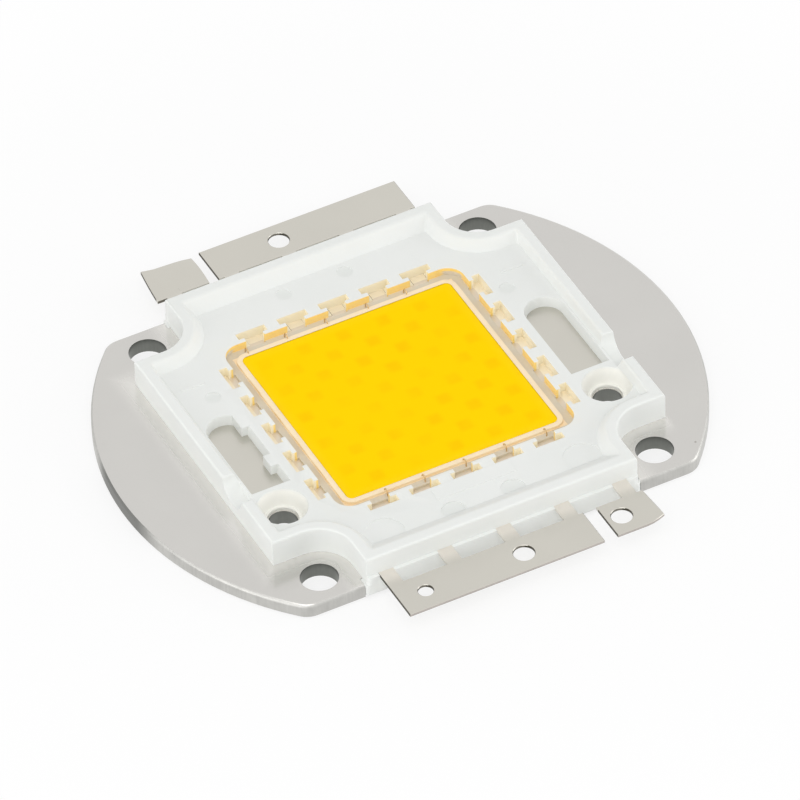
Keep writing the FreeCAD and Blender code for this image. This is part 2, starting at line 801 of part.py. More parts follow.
def make_housing(document, size, leads):
    """Let the terminal strips into the moulding, face to face."""
    moulding = make_moulding(document, size)
    inserts = document.addObject("Part::Compound", "inserts")
    inserts.Links = leads
    housing = document.addObject("Part::Cut", "housing")
    housing.Base = moulding
    housing.Tool = inserts
    housing.Label = "housing"
    return housing


# Dies in rows on the plate, covered by the phosphor that fills the dam
def make_dies(document, size):
    """Build the square grid of dies."""
    body = new_body(document, "die_array")
    outline = new_sketch(body, "die_outline", size.plate_thickness)
    half = size.die_width / 2
    first = -(DIES_PER_ROW - 1) / 2 * size.die_pitch
    draw_rectangle(outline, first - half, first - half, first + half, first + half)
    die = pad(body, "die", outline, size.die_height)
    grid = body.newObject("PartDesign::LinearPattern", "die_grid")
    grid.Originals = [die]
    grid.Direction = (axis_or_plane(body, "X_Axis"), [""])
    grid.Direction2 = (axis_or_plane(body, "Y_Axis"), [""])
    grid.Occurrences = DIES_PER_ROW
    grid.Occurrences2 = DIES_PER_ROW
    span = (DIES_PER_ROW - 1) * size.die_pitch
    grid.setExpression("Length", span.formula)
    grid.setExpression("Length2", span.formula)
    body.Tip = grid
    return body


def make_phosphor(document, size, dies):
    """Fill the well inside the dam, round the dies."""
    body = new_body(document, "phosphor_fill")
    outline = new_sketch(body, "phosphor_outline", size.plate_thickness)
    draw_rounded_square(outline, size.light_half, size.light_corner_radius)
    pad(body, "fill", outline, size.dam_top - size.plate_thickness)
    phosphor = document.addObject("Part::Cut", "phosphor")
    phosphor.Base = body
    phosphor.Tool = dies
    phosphor.Label = "phosphor"
    return phosphor


# Wire loops over the dam: six-sided strands, each built about its own outer leg
def draw_strand(sketch, radius):
    """Draw the six-sided section of a wire about the origin."""
    half = radius / 2
    rise = half * root(Size.of(3))
    draw_outline(sketch, [(radius, 0), (half, rise), (-half, rise), (-radius, 0), (-half, -rise), (half, -rise)])


def make_wire(document, size, label, side, x):
    """Build one wire: a leg in the moat and a half ring onto the edge of the dam."""
    body = new_body(document, label)
    rise = size.dam_top - size.moat_top
    foot = new_sketch(body, "foot_outline")
    draw_strand(foot, size.wire_radius)
    pad(body, "leg", foot, rise)
    start = new_sketch(body, "ring_start", rise)
    draw_strand(start, size.wire_radius)
    reach = size.wire_loop_radius
    axis = Part.LineSegment(at((-reach, -reach)), at((reach, -reach)))
    line = start.addGeometry(axis, True)
    pin(start, line, START, -reach, -reach)
    pin(start, line, END, reach, -reach)
    ring = body.newObject("PartDesign::Revolution", "ring")
    ring.Profile = start
    ring.ReferenceAxis = (start, ["Axis0"])
    ring.Angle = HALF_TURN
    outer = size.dam_half - size.wire_edge + reach * 2
    turn = 0 if side == 1 else HALF_TURN
    body.Placement = FreeCAD.Placement(FreeCAD.Vector(), FreeCAD.Rotation(UP, turn))
    for axis_name, value in zip("xyz", (x, side * outer, size.moat_top)):
        body.setExpression(f"Placement.Base.{axis_name}", value.formula)
    return body


def make_wires(document, size):
    """Build one wire for each finger at the front and the back."""
    wires = []
    for name, side in (("front", -1), ("back", 1)):
        for index in range(SLOTS_PER_SIDE):
            shift = getattr(size, f"{name}_wire_{index + 1}")
            x = (index - (SLOTS_PER_SIDE - 1) / 2) * size.slot_pitch + shift
            wires.append(make_wire(document, size, f"bond_wire_{name}_{index + 1}", side, x))
    return wires


def check_body(body):
    """Stop if a feature of the body added or cut nothing."""
    for feature in body.Group:
        base = getattr(feature, "BaseFeature", None)
        adds = any(word in feature.TypeId for word in ("Pad", "Additive"))
        cuts = any(word in feature.TypeId for word in ("Pocket", "Subtractive"))
        if base is None or not (adds or cuts):
            continue
        growth = feature.Shape.Volume - base.Shape.Volume
        if (adds and growth <= 0) or (cuts and growth >= 0):
            raise RuntimeError(f"{body.Label}: {feature.Name} changes the volume by {growth:.4f}")


def check_document(document, pieces):
    """Stop if any object failed or any piece has no valid shape."""
    for item in document.Objects:
        if "Invalid" in item.State or "Error" in item.State:
            raise RuntimeError(f"{item.Name} failed: {item.State}")
        if item.isDerivedFrom("PartDesign::Body"):
            check_body(item)
    for piece in pieces:
        if piece.Shape.isNull() or not piece.Shape.isValid():
            raise RuntimeError(f"{piece.Label} has no valid shape")


def write_pieces(pieces):
    """Write each piece to its own file."""
    os.makedirs("parts", exist_ok=True)
    for piece in pieces:
        piece.Shape.exportStep(f"parts/{piece.Label}.step")
        box = piece.Shape.BoundBox
        print(f"{piece.Label}: {len(piece.Shape.Solids)} solid, volume {piece.Shape.Volume:.3f},"
              f" x {box.XMin:.2f} {box.XMax:.2f}, y {box.YMin:.2f} {box.YMax:.2f}, z {box.ZMin:.2f} {box.ZMax:.2f}")


def main():
    """Build the document and write its pieces."""
    document = FreeCAD.newDocument("light_module")
    size = add_derived(make_sheet(document))
    plate = make_plate(document, size)
    leads = make_leads(document, size)
    leads += [make_side_lead(document, size, "lead_side_left", -1),
              make_side_lead(document, size, "lead_side_right", 1)]
    housing = make_housing(document, size, leads)
    dies = make_dies(document, size)
    phosphor = make_phosphor(document, size, dies)
    wires = make_wires(document, size)
    document.recompute()
    pieces = [plate, housing, *leads, phosphor, dies, *wires]
    check_document(document, pieces)
    write_pieces(pieces)


main()
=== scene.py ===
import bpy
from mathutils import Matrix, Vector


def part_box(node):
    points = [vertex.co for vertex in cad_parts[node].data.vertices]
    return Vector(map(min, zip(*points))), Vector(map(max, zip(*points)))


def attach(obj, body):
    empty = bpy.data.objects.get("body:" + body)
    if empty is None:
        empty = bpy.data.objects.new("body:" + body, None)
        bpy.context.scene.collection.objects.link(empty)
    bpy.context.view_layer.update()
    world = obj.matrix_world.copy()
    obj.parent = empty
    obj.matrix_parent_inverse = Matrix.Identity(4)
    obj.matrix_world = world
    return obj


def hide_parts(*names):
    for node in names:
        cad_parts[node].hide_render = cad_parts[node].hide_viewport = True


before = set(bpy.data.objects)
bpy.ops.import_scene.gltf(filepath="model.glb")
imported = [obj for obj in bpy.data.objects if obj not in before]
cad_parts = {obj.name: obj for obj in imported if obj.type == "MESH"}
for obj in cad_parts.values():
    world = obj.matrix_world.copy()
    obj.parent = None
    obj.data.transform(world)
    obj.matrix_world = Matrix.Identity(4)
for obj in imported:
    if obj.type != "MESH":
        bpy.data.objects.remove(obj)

import logging
import math
from collections.abc import Callable, Iterable
from dataclasses import dataclass, field
from enum import Enum

import bmesh
import bpy
from mathutils import Matrix, Vector

LOG = logging.getLogger("light_module")
MM = 0.001
ROOT = "root"

Number = float | int
Point = tuple[float, float]
Colour = tuple[float, float, float, float]
Tone = Colour | bpy.types.NodeSocket


class Slot(Enum):
    """Material slots of the record."""

    PLATE = "plate_metal"
    LEAD = "lead_metal"
    PLASTIC = "white_plastic"
    PHOSPHOR = "phosphor_gel"
    DIE = "die_ceramic"
    WIRE = "wire_gold"


class Row(Enum):
    """Side of the module that a wire is on."""

    FRONT = "front"
    BACK = "back"


class Edge(Enum):
    """Kinds of cut edge, numbered as the materials of a piece are; SIDE is also the wall of a plate hole."""

    NONE = 0
    CUT = 1
    SIDE = 2
    TIP = 3


class Shade(Enum):
    """Screen colours that are mixed into the finishes; some of them are painted light, as noted."""

    WORN = (150, 146, 138)
    # Painted reflections of the housing's walls, on the plate and on the fingers
    PAINTED_WALL_REFLECTION_ON_PLATE = (236, 234, 229)
    PAINTED_WALL_REFLECTION_ON_FINGERS = (232, 226, 217)
    # Painted glow of the light on the strips, in the window and in the slot heads
    PAINTED_GLOW_ON_STRIPS = (228, 216, 198)
    PAINTED_GLOW_ON_STRIP_HEADS = (248, 238, 216)
    # Darker left end of the plate's edge
    LEFT_END_DARK = (96, 97, 94)
    DULL_PLASTIC = (232, 234, 231)
    # Painted light inside the countersunk bores
    PAINTED_LIGHT_IN_BORE = (248, 247, 240)
    MOULD_MARK = (224, 227, 223)
    # Painted glow of the light on the slot heads and the window walls
    PAINTED_GLOW_ON_SLOT_HEAD = (250, 241, 216)
    PAINTED_GLOW_ON_WINDOW_WALL = (255, 220, 132)
    MOAT = (218, 209, 190)
    DAM = (253, 231, 196)
    CHIP = (252, 188, 2)
    GEL_RIM = (255, 212, 30)
    DIE_SPECK = (150, 154, 162)
    WIRE_FOOT = (186, 150, 96)

    @property
    def linear(self) -> Colour:
        """Linear colour for a shader."""
        return srgb(*self.value)


@dataclass(frozen=True)
class Layout:
    """Places that several pieces and finishes share, in mm.

    Attributes:
        hole: Distance of the mounting holes from the middle, along X and along Y.
        bore: Middle of the right countersunk bore; the left one mirrors it.
        notch_radius: Radius of the housing's notch round a mounting hole.
        side_wall: Distance of the housing's side walls from the middle.
        end_wall: Distance of its front and back walls from the middle.
        floor: Level of its floor.
        dam_width: Width of the dam round the phosphor.
        window_margin: From the phosphor's edge to the edge of the window in the floor.
        chip_pitch: Distance between the chips.
    """

    hole: float = 17.0
    bore: Point = (16.5, -9.0)
    notch_radius: float = 3.3
    side_wall: float = 19.9
    end_wall: float = 19.9
    floor: float = 3.35
    dam_width: float = 0.5
    window_margin: float = 1.42
    chip_pitch: float = 2.0

    def from_hole(self, place: Vector) -> float:
        """Distance of a place from the nearest mounting hole, seen from above."""
        return math.hypot(abs(place.x) - self.hole, abs(place.y) - self.hole)

    def from_bore(self, place: Vector) -> float:
        """Distance of a place from the nearest countersunk bore, seen from above."""
        return math.hypot(abs(place.x) - self.bore[0], place.y - self.bore[1])


LAYOUT = Layout()


# Shader building
class Field:
    """A shader value that works in formulas like a number."""

    def __init__(self, recipe: "Recipe", socket: bpy.types.NodeSocket) -> None:
        """Wrap one output socket of a recipe's node."""
        self.recipe = recipe
        self.socket = socket

    def apply(self, operation: str, other: "Field | Number", flipped: bool = False) -> "Field":
        """Join two values with a math node.

        Args:
            operation: Name of the math node's operation.
            other: The second value.
            flipped: Whether the other value comes first.

        Returns:
            The joined value.
        """
        pair = (other, self) if flipped else (self, other)
        return self.recipe.math(operation, *pair)

    def __add__(self, other: "Field | Number") -> "Field":
        """Add."""
        return self.apply("ADD", other)

    def __radd__(self, other: "Field | Number") -> "Field":
        """Add, from the right."""
        return self.apply("ADD", other, flipped=True)

    def __sub__(self, other: "Field | Number") -> "Field":
        """Subtract."""
        return self.apply("SUBTRACT", other)

    def __rsub__(self, other: "Field | Number") -> "Field":
        """Subtract, from the right."""
        return self.apply("SUBTRACT", other, flipped=True)

    def __mul__(self, other: "Field | Number") -> "Field":
        """Multiply."""
        return self.apply("MULTIPLY", other)

    def __truediv__(self, other: "Field | Number") -> "Field":
        """Divide."""
        return self.apply("DIVIDE", other)

    def __pow__(self, other: "Field | Number") -> "Field":
        """Raise to a power."""
        return self.apply("POWER", other)

    def __abs__(self) -> "Field":
        """Take the size without the sign."""
        return self.recipe.math("ABSOLUTE", self)

    def biggest(self, other: "Field | Number") -> "Field":
        """Take the larger of two values."""
        return self.apply("MAXIMUM", other)

    def smallest(self, other: "Field | Number") -> "Field":
        """Take the smaller of two values."""
        return self.apply("MINIMUM", other)

    def ramp(self, low: Number, high: Number) -> "Field":
        """Rise smoothly from 0 at low to 1 at high; low may be the larger."""
        node = self.recipe.node(
            "ShaderNodeMapRange",
            {"interpolation_type": "SMOOTHSTEP"},
            {"Value": self, "From Min": low, "From Max": high},
        )
        return self.recipe.value(node, "Result")


class Recipe:
    """One procedural material under construction."""

    def __init__(self, name: str) -> None:
        """Start a material with nothing but its output."""
        self.material = bpy.data.materials.new(name)
        self.material.use_nodes = True
        self.tree = self.material.node_tree
        self.tree.nodes.clear()
        self.output = self.tree.nodes.new("ShaderNodeOutputMaterial")
        coordinates = self.node("ShaderNodeTexCoord")
        self.position = coordinates.outputs["Object"]
        split = self.node("ShaderNodeSeparateXYZ", inputs={"Vector": self.position})
        self.x, self.y, self.z = (self.value(split, axis) / MM for axis in "XYZ")

    def node(self, kind: str, settings: dict | None = None, inputs: dict | None = None) -> bpy.types.Node:
        """Add a node.

        Args:
            kind: Node type.
            settings: Properties of the node.
            inputs: Constants, fields or sockets by input name or number.

        Returns:
            The new node.
        """
        made = self.tree.nodes.new(kind)
        for name, value in (settings or {}).items():
            setattr(made, name, value)
        for name, value in (inputs or {}).items():
            socket = made.inputs[name]
            if isinstance(value, Field):
                self.tree.links.new(value.socket, socket)
            elif isinstance(value, bpy.types.NodeSocket):
                self.tree.links.new(value, socket)
            else:
                socket.default_value = value
        return made

    def value(self, node: bpy.types.Node, output: str) -> Field:
        """Wrap a node's output for formulas."""
        return Field(self, node.outputs[output])

    def math(self, operation: str, *values: Field | Number) -> Field:
        """Add a math node for one operation."""
        made = self.node("ShaderNodeMath", {"operation": operation}, dict(enumerate(values)))
        return self.value(made, "Value")

    def noise(self, size_mm: float, detail: float = 2.0, stretch: tuple[float, float, float] = (1, 1, 1)) -> Field:
        """Noise around 0.5.

        Args:
            size_mm: Width of the largest blobs.
            detail: Octaves of finer noise.
            stretch: Length of the blobs along each axis.

        Returns:
            The noise value.
        """
        scale = tuple(1 / (size_mm * MM * along) for along in stretch)
        mapping = self.node("ShaderNodeMapping", inputs={"Vector": self.position, "Scale": scale})
        made = self.node(
            "ShaderNodeTexNoise",
            inputs={"Vector": mapping.outputs["Vector"], "Scale": 1.0, "Detail": detail},
        )
        return self.value(made, "Fac")

    def mix(self, factor: Field | Number, first: Tone, second: Tone) -> bpy.types.NodeSocket:
        """Mix two colours.

        Args:
            factor: Share of the second colour.
            first: Colour or socket.
            second: Colour or socket.

        Returns:
            The mixed colour's socket.
        """
        made = self.node("ShaderNodeMix", {"data_type": "RGBA"}, {0: factor, 6: first, 7: second})
        return made.outputs[2]

    def bump(
        self, height: Field, depth_mm: float, previous: bpy.types.NodeSocket | None = None
    ) -> bpy.types.NodeSocket:
        """Turn a height of 0 to 1 into a bumped normal.

        Args:
            height: Height field.
            depth_mm: Height that 1 stands for.
            previous: Normal to add to.

        Returns:
            The normal's socket.
        """
        inputs = {"Height": height, "Distance": depth_mm * MM, "Strength": 1.0}
        if previous is not None:
            inputs["Normal"] = previous
        return self.node("ShaderNodeBump", inputs=inputs).outputs["Normal"]

    def spot(self, x: float, y: float, width: float, depth: float, soft: float) -> Field:
        """Soft-edged upright patch that is 1 inside.

        Args:
            x: Middle along X, in mm.
            y: Middle along Y, in mm.
            width: Size along X, in mm.
            depth: Size along Y, in mm.
            soft: Width of the soft edge, in mm.

        Returns:
            The patch's value.
        """
        side = abs(self.x - x).ramp(width / 2 + soft, width / 2)
        return side * abs(self.y - y).ramp(depth / 2 + soft, depth / 2)

    def away(self, x: float, y: float) -> Field:
        """Distance from an upright line, in mm."""
        return ((self.x - x) ** 2.0 + (self.y - y) ** 2.0) ** 0.5

    def reach(self) -> Field:
        """Half width of the upright square round the middle that a place lies on, in mm."""
        return abs(self.x).biggest(abs(self.y))

    def surface(self, finish: "Finish", varying: dict | None = None) -> bpy.types.Material:
        """Close the recipe with a principled shader.

        Args:
            finish: Constants of the surface.
            varying: Inputs that nodes feed, by name.

        Returns:
            The material.
        """
        inputs = finish.inputs()
        inputs.update(varying or {})
        shader = self.node("ShaderNodeBsdfPrincipled", inputs=inputs)
        self.tree.links.new(shader.outputs["BSDF"], self.output.inputs["Surface"])
        return self.material


def srgb(red: int, green: int, blue: int) -> Colour:
    """Linear colour of an 8-bit screen colour."""
    shares = [level / 255 for level in (red, green, blue)]
    linear = [s / 12.92 if s <= 0.04045 else ((s + 0.055) / 1.055) ** 2.4 for s in shares]
    return (*linear, 1.0)


def darkened(colour: Colour, share: float) -> Colour:
    """Scale a linear colour down."""
    return (*(share * channel for channel in colour[:3]), 1.0)


@dataclass(frozen=True)
class Finish:
    """Constants of one surface.

    Attributes:
        colour: Screen colour, 8 bits a channel.
        roughness: Microfacet roughness.
        metallic: 1 for bare metal.
        subsurface: Share of light that passes under the surface.
        subsurface_mm: How far that light travels.
        specular: Strength of the reflection of a non-metal.
    """

    colour: tuple[int, int, int]
    roughness: float
    metallic: float = 0.0
    subsurface: float = 0.0
    subsurface_mm: float = 1.0
    specular: float = 0.5

    def inputs(self) -> dict:
        """Principled inputs of the finish."""
        return {
            "Base Color": srgb(*self.colour),
            "Roughness": self.roughness,
            "Metallic": self.metallic,
            "Subsurface Weight": self.subsurface,
            "Subsurface Radius": (1.0, 0.96, 0.92),
            "Subsurface Scale": self.subsurface_mm * MM,
            "Specular IOR Level": self.specular,
        }


PLATE_FINISH = Finish(colour=(210, 208, 204), roughness=0.2, metallic=1.0)
PLATE_EDGE_FINISH = Finish(colour=(204, 203, 199), roughness=0.5, metallic=1.0)
PLATE_HOLE_FINISH = Finish(colour=(122, 124, 119), roughness=0.35, metallic=1.0)
LEAD_FINISH = Finish(colour=(208, 205, 196), roughness=0.3, metallic=1.0)
LEAD_CUT_FINISH = Finish(colour=(130, 125, 115), roughness=0.5, metallic=0.8)
LEAD_SIDE_FINISH = Finish(colour=(72, 68, 56), roughness=0.5, metallic=0.6)
LEAD_TIP_FINISH = Finish(colour=(196, 189, 183), roughness=0.5, metallic=0.6)
PLASTIC_FINISH = Finish(colour=(238, 239, 237), roughness=0.45, subsurface=0.15, subsurface_mm=0.5, specular=0.3)
PHOSPHOR_FINISH = Finish(colour=(255, 207, 0), roughness=0.6, subsurface=0.25, subsurface_mm=0.5, specular=0.03)
DIE_FINISH = Finish(colour=(120, 124, 132), roughness=0.4)
WIRE_FINISH = Finish(colour=(232, 206, 160), roughness=0.5, metallic=0.6)
# Ejector pins and gates: x, y and radius, in mm
MOULD_MARKS = (
    (-15.42, 6.85, 0.8),
    (14.72, 6.85, 0.8),
    (-3.5, 16.05, 0.8),
    (2.8, 16.05, 0.8),
    (2.65, -16.9, 1.15),
    (-3.35, -16.9, 1.15),
)
# Scratches on the plate: x, y, width and depth, in mm
WORN_SPOTS = ((20.9, -7.2, 0.4, 0.05), (20.7, -17.9, 0.12, 0.12))


# Materials
@dataclass
class Paints:
    """All materials of the module.

    Attributes:
        light_half: Half width of the phosphor, in mm.
        dam_half: Half width over the dam, in mm.
        window_half: Half width of the window in the housing's floor, in mm.
        made: The finish of every slot.
        edges: The further materials of a slot's cut edges, in the order of Edge.
    """

    light_half: float
    dam_half: float
    window_half: float
    made: dict[Slot, bpy.types.Material] = field(default_factory=dict)
    edges: dict[Slot, list[bpy.types.Material]] = field(default_factory=dict)

    def build(self) -> None:
        """Make every material."""
        self.made = {
            Slot.PLATE: self.metal("plate_satin", PLATE_FINISH, 0.06, self.plate_scratches_and_painted_reflection),
            Slot.LEAD: self.metal("strip_satin", LEAD_FINISH, 0.05, self.strip_painted_glow_and_reflection),
            Slot.PLASTIC: self.plastic(),
            Slot.PHOSPHOR: self.phosphor(),
            Slot.DIE: self.die(),
            Slot.WIRE: self.wire(),
        }
        self.edges = {
            Slot.PLATE: [
                self.cut_edge("plate_cut", PLATE_EDGE_FINISH, darker_left_end=True),
                self.cut_edge("plate_hole", PLATE_HOLE_FINISH),
            ],
            Slot.LEAD: [
                self.cut_edge("strip_cut", LEAD_CUT_FINISH),
                self.cut_edge("strip_side", LEAD_SIDE_FINISH),
                self.cut_edge("strip_tip", LEAD_TIP_FINISH),
            ],
        }

    def metal(
        self, name: str, finish: Finish, grain: float, marks: Callable[[Recipe, Tone], tuple[Tone, Field]]
    ) -> bpy.types.Material:
        """Satin plated metal with a fine grain, faint rolling lines and cloudy sheen.

        Args:
            name: Material name.
            finish: Constants.
            grain: Width of the grain, in mm.
            marks: Adds the marks and the painted light of one kind of piece, and tells how metallic they leave it.

        Returns:
            The material.
        """
        recipe = Recipe(name)
        clouds = recipe.noise(7.0, 3.0)
        fine = recipe.noise(grain, 2.0)
        lines = recipe.noise(0.12, 2.0, stretch=(60, 1, 1))
        base = srgb(*finish.colour)
        tone, metallic = marks(recipe, recipe.mix((clouds - 0.35) * 1.6, darkened(base, 0.95), base))
        rough = finish.roughness + (clouds - 0.5) * 0.08 + (lines - 0.5) * 0.05
        normal = recipe.bump(lines, 0.0012, recipe.bump(fine, 0.0018))
        return recipe.surface(
            finish, {"Base Color": tone, "Roughness": rough, "Metallic": metallic, "Normal": normal}
        )

    def plate_scratches_and_painted_reflection(self, recipe: Recipe, tone: Tone) -> tuple[Tone, Field]:
        """Scratches, and a painted reflection of the housing's walls: the plate is paler and less metallic beside them.

        Args:
            recipe: Recipe of the plate.
            tone: Its colour so far.

        Returns:
            The colour with the scratches and the painted reflection, and how metallic it is.
        """
        for spot in WORN_SPOTS:
            tone = recipe.mix(recipe.spot(*spot, soft=0.08) * 0.6, tone, Shade.WORN.linear)
        # Painted reflection of the housing's walls: beside them the plate is painted paler and made less metallic.
        inward_x = (abs(recipe.x) - LAYOUT.hole).smallest(0.0)
        inward_y = (abs(recipe.y) - LAYOUT.hole).smallest(0.0)
        from_notch = LAYOUT.notch_radius - (inward_x**2.0 + inward_y**2.0) ** 0.5
        from_wall = from_notch.biggest(abs(recipe.x) - LAYOUT.side_wall)
        left_of_right_wall = recipe.x.ramp(20.3, 19.7)
        painted_reflection = from_wall.ramp(2.4, 0.0) * left_of_right_wall
        return recipe.mix(painted_reflection * 0.6, tone, Shade.PAINTED_WALL_REFLECTION_ON_PLATE.linear), 1.0 - painted_reflection * 0.5

    def strip_painted_glow_and_reflection(self, recipe: Recipe, tone: Tone) -> tuple[Tone, Field]:
        """Painted glow of the light on the strips in the window, and a painted reflection of the wall on the fingers
        beside it.

        Args:
            recipe: Recipe of the strips.
            tone: Their colour so far.

        Returns:
            The colour with the marks, and how metallic it is.
        """
        reach = recipe.reach()
        # Painted glow of the light: the strips are painted beige in the window and cream in the slot heads, and made
        # less metallic there.
        inside = reach.ramp(self.window_half + 1.6, self.window_half + 1.3)
        head = reach.ramp(self.window_half + 0.4, self.window_half + 0.5)
        glow = recipe.mix(head, Shade.PAINTED_GLOW_ON_STRIPS.linear, Shade.PAINTED_GLOW_ON_STRIP_HEADS.linear)
        tone = recipe.mix(inside, tone, glow)
        # Painted reflection of the housing's wall: the fingers beside it are painted paler and made less metallic.
        near_wall = abs(recipe.y).ramp(22.2, 20.6)
        outside = abs(recipe.y).ramp(19.0, 19.8)
        painted_reflection = near_wall * outside
        return recipe.mix(painted_reflection * 0.8, tone, Shade.PAINTED_WALL_REFLECTION_ON_FINGERS.linear), 1.0 - inside * 0.7 - painted_reflection * 0.6

    def cut_edge(self, name: str, finish: Finish, darker_left_end: bool = False) -> bpy.types.Material:
        """Punched or turned edge of a metal piece, with upright streaks.

        Args:
            name: Material name.
            finish: Constants.
            darker_left_end: Whether the edge is painted darker towards its left end.

        Returns:
            The material.
        """
        recipe = Recipe(name)
        streaks = recipe.noise(0.16, 3.0, stretch=(1, 1, 14))
        stains = recipe.noise(1.4, 2.0)
        base = srgb(*finish.colour)
        tone = recipe.mix(streaks * 0.9 + stains * 0.9 - 0.4, darkened(base, 0.72), base)
        # The edge is painted darker towards its left end.
        if darker_left_end:
            left_end = recipe.spot(x=-28.0, y=1.0, width=2.0, depth=6.0, soft=4.0)
            tone = recipe.mix(left_end * 0.75, tone, Shade.LEFT_END_DARK.linear)
        rough = finish.roughness + (streaks - 0.5) * 0.2
        return recipe.surface(finish, {"Base Color": tone, "Roughness": rough, "Normal": recipe.bump(streaks, 0.004)})

    def plastic(self) -> bpy.types.Material:
        """White moulding with a painted glow of the light on the window walls and slot heads, painted light in the
        bores, a darker beige moat and a peach dam.
        """
        recipe = Recipe("moulded_white")
        reach = recipe.reach()
        below = recipe.z.ramp(LAYOUT.floor + 0.01, LAYOUT.floor - 0.1)
        deep = recipe.z.ramp(LAYOUT.floor - 0.3, LAYOUT.floor - 0.45)
        walls = reach.ramp(self.window_half + 0.3, self.window_half + 0.1) * below
        heads = reach.ramp(self.window_half + 1.6, self.window_half + 1.3) * below
        moat = reach.ramp(self.window_half + 0.02, self.window_half - 0.1) * deep
        dam = reach.ramp(self.dam_half + 0.06, self.dam_half + 0.02)
        clouds = recipe.noise(5.0, 3.0)
        tone = recipe.mix((clouds - 0.4) * 1.2, Shade.DULL_PLASTIC.linear, srgb(*PLASTIC_FINISH.colour))
        # Painted light: the inside of the countersunk bores is painted whiter than the moulding.
        from_bore = ((abs(recipe.x) - LAYOUT.bore[0]) ** 2.0 + (recipe.y - LAYOUT.bore[1]) ** 2.0) ** 0.5
        tone = recipe.mix(from_bore.ramp(2.4, 2.2) * below, tone, Shade.PAINTED_LIGHT_IN_BORE.linear)
        for x, y, radius in MOULD_MARKS:
            mark = recipe.away(x, y).ramp(radius + 0.2, radius * 0.2)
            tone = recipe.mix(mark * 0.55, tone, Shade.MOULD_MARK.linear)
        # Painted glow of the light: cream on the slot heads and yellow on the window walls; the moat is a darker beige
        # and the dam peach.
        for share, shade in (
            (heads, Shade.PAINTED_GLOW_ON_SLOT_HEAD),
            (walls, Shade.PAINTED_GLOW_ON_WINDOW_WALL),
            (moat, Shade.MOAT),
            (dam, Shade.DAM),
        ):
            tone = recipe.mix(share, tone, shade.linear)
        grain = recipe.noise(0.09, 2.0)
        waves = recipe.noise(2.5, 2.0)
        rough = PLASTIC_FINISH.roughness + (clouds - 0.5) * 0.1
        normal = recipe.bump(waves, 0.006, recipe.bump(grain, 0.0015))
        return recipe.surface(PLASTIC_FINISH, {"Base Color": tone, "Roughness": rough, "Normal": normal})

    def phosphor(self) -> bpy.types.Material:
        """Yellow gel with faint darker squares over every other chip, and a faint painted glow."""
        recipe = Recipe("yellow_gel")
        column, row = recipe.x / LAYOUT.chip_pitch, recipe.y / LAYOUT.chip_pitch
        odd = recipe.math("PINGPONG", recipe.math("FLOOR", column) + recipe.math("FLOOR", row), 1.0)
        across = abs(recipe.math("FRACT", column) - 0.5)
        along = abs(recipe.math("FRACT", row) - 0.5)
        chip = across.ramp(0.5, 0.15) * along.ramp(0.5, 0.15) * odd
        clouds = recipe.noise(1.6, 2.0)
        patches = recipe.noise(5.0, 1.0).ramp(0.35, 0.65)
        edge = recipe.reach().ramp(self.light_half - 1.2, self.light_half)
        share = chip * (patches * 0.7 + 0.3) * (0.2 + clouds * 0.5)
        tone = recipe.mix(share, srgb(*PHOSPHOR_FINISH.colour), Shade.CHIP.linear)
        tone = recipe.mix(edge * 0.35, tone, Shade.GEL_RIM.linear)
        waves = recipe.bump(recipe.noise(1.2, 2.0), 0.004)
        normal = recipe.bump(recipe.noise(0.08, 1.0), 0.001, waves)
        # Painted glow: the gel has a faint emission of its own colour, though it is no lamp.
        glow = {"Emission Color": tone, "Emission Strength": 0.08}
        return recipe.surface(PHOSPHOR_FINISH, {"Base Color": tone, "Normal": normal, **glow})

    def die(self) -> bpy.types.Material:
        """Grey chips under the gel."""
        recipe = Recipe("chip_grey")
        speckle = recipe.noise(0.2, 2.0)
        tone = recipe.mix(speckle, srgb(*DIE_FINISH.colour), Shade.DIE_SPECK.linear)
        return recipe.surface(DIE_FINISH, {"Base Color": tone})

    def wire(self) -> bpy.types.Material:
        """Drawn wire with darker streaks."""
        recipe = Recipe("drawn_wire")
        streaks = recipe.noise(0.05, 2.0, stretch=(1, 1, 6))
        tone = recipe.mix(streaks, Shade.WIRE_FOOT.linear, srgb(*WIRE_FINISH.colour))
        return recipe.surface(WIRE_FINISH, {"Base Color": tone})


# Mesh building
def within(value: float, limits: Point) -> bool:
    """Tell whether a value lies between two limits."""
    return limits[0] < value < limits[1]


def cut(mesh: bmesh.types.BMesh, place: Vector, normal: Vector) -> None:
    """Add the edges where a plane meets a mesh.

    Args:
        mesh: Mesh to cut.
        place: Point of the plane, in metres.
        normal: Its direction.
    """
    geometry = [*mesh.verts, *mesh.edges, *mesh.faces]
    bmesh.ops.bisect_plane(mesh, geom=geometry, dist=1e-7, plane_co=place, plane_no=normal)


def skin(mesh: bmesh.types.BMesh, rings: list[list[bmesh.types.BMVert]]) -> None:
    """Join rings of points to a closed skin, and close both ends.

    Args:
        mesh: Mesh that holds the points.
        rings: Rings with the same number of points.
    """
    for first, last in zip(rings, rings[1:]):
        for index in range(len(first)):
            following = (index + 1) % len(first)
            mesh.faces.new((first[index], first[following], last[following], last[index]))
    mesh.faces.new(rings[-1])
    mesh.faces.new(rings[0][::-1])


@dataclass(frozen=True)
class Rounding:
    """One pass of edge rounding.

    Attributes:
        width_mm: Width of the rounding.
        wanted: Test of an edge's middle, in mm, and its direction.
        segments: Strips across the rounding.
    """

    width_mm: float
    wanted: Callable[[Vector, Vector], bool]
    segments: int


